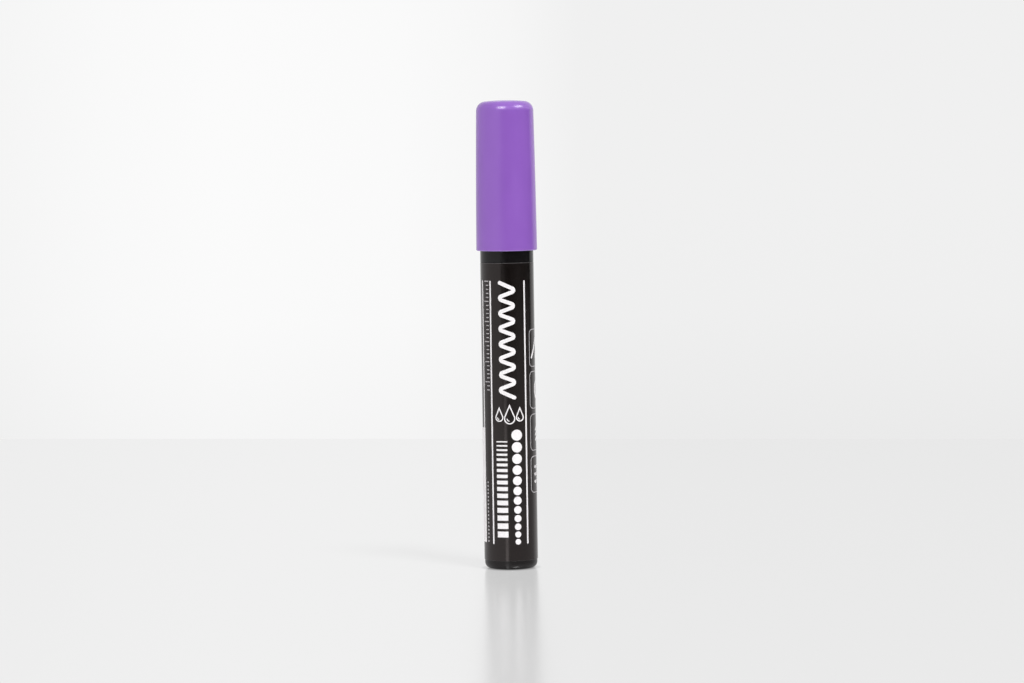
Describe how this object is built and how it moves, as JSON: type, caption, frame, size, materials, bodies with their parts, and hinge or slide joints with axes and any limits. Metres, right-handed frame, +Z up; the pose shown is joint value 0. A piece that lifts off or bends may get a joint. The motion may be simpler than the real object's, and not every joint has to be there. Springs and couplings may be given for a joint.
{
  "type": "acrylic paint pen",
  "caption": "Slim upright paint pen with a push-on cap, a sprung valve behind a bullet nib, and mixing balls loose in a closed round barrel.",
  "frame": {"origin": "centre of the flat base that the pen stands on", "axes": "+Z up the barrel's axis to the cap's crown; the print faces -Y"},
  "size_m": [0.0182, 0.0182, 0.14],
  "materials": {
    "barrel_plastic": "satin black moulded plastic",
    "printed_film": "smooth black film with white print",
    "front_plastic": "satin black moulded plastic",
    "cap_plastic": "smooth purple moulded plastic, half gloss",
    "liner_plastic": "white moulded plastic",
    "valve_plastic": "natural moulded plastic",
    "nib_fibre": "bonded white fibre",
    "sponge_foam": "open foam",
    "seal_rubber": "matte black",
    "spring_steel": "drawn stainless wire",
    "ball_steel": "polished steel"
  },
  "bodies": {
    "barrel": {"barrel": "barrel_plastic", "label_sleeve": "printed_film", "front_section": "front_plastic", "overflow_sponge": "sponge_foam", "valve_seal": "seal_rubber", "valve_cage": "valve_plastic", "valve_spring": "spring_steel"},
    "nib": {"nib": "nib_fibre"},
    "valve_stem": {"valve_stem": "valve_plastic"},
    "ball_1": {"mixing_ball_1": "ball_steel"},
    "ball_2": {"mixing_ball_2": "ball_steel"},
    "cap": {"cap_shell": "cap_plastic", "cap_liner": "liner_plastic"}
  },
  "joints": [
    {"name": "cap_pull", "type": "slide", "parent": "barrel", "child": "cap", "axis": [0, 0, 1], "range_m": [0, 0.045]},
    {"name": "nib_press", "type": "slide", "parent": "barrel", "child": "nib", "axis": [0, 0, -1], "range_m": [0, 0.002]},
    {"name": "valve_press", "type": "slide", "parent": "barrel", "child": "valve_stem", "axis": [0, 0, -1], "range_m": [0, 0.002], "stiffness_N_per_m": 600, "springref_m": -0.001, "deforming": ["valve_spring"]},
    {"name": "ball_1_slide", "type": "slide", "parent": "barrel", "child": "ball_1", "axis": [0, 0, 1], "range_m": [0, 0.0685]},
    {"name": "ball_2_slide", "type": "slide", "parent": "barrel", "child": "ball_2", "axis": [0, 0, 1], "range_m": [0, 0.0685]}
  ],
  "couplings": [
    {"joint": "valve_press", "follows": "nib_press", "ratio": 1}
  ]
}
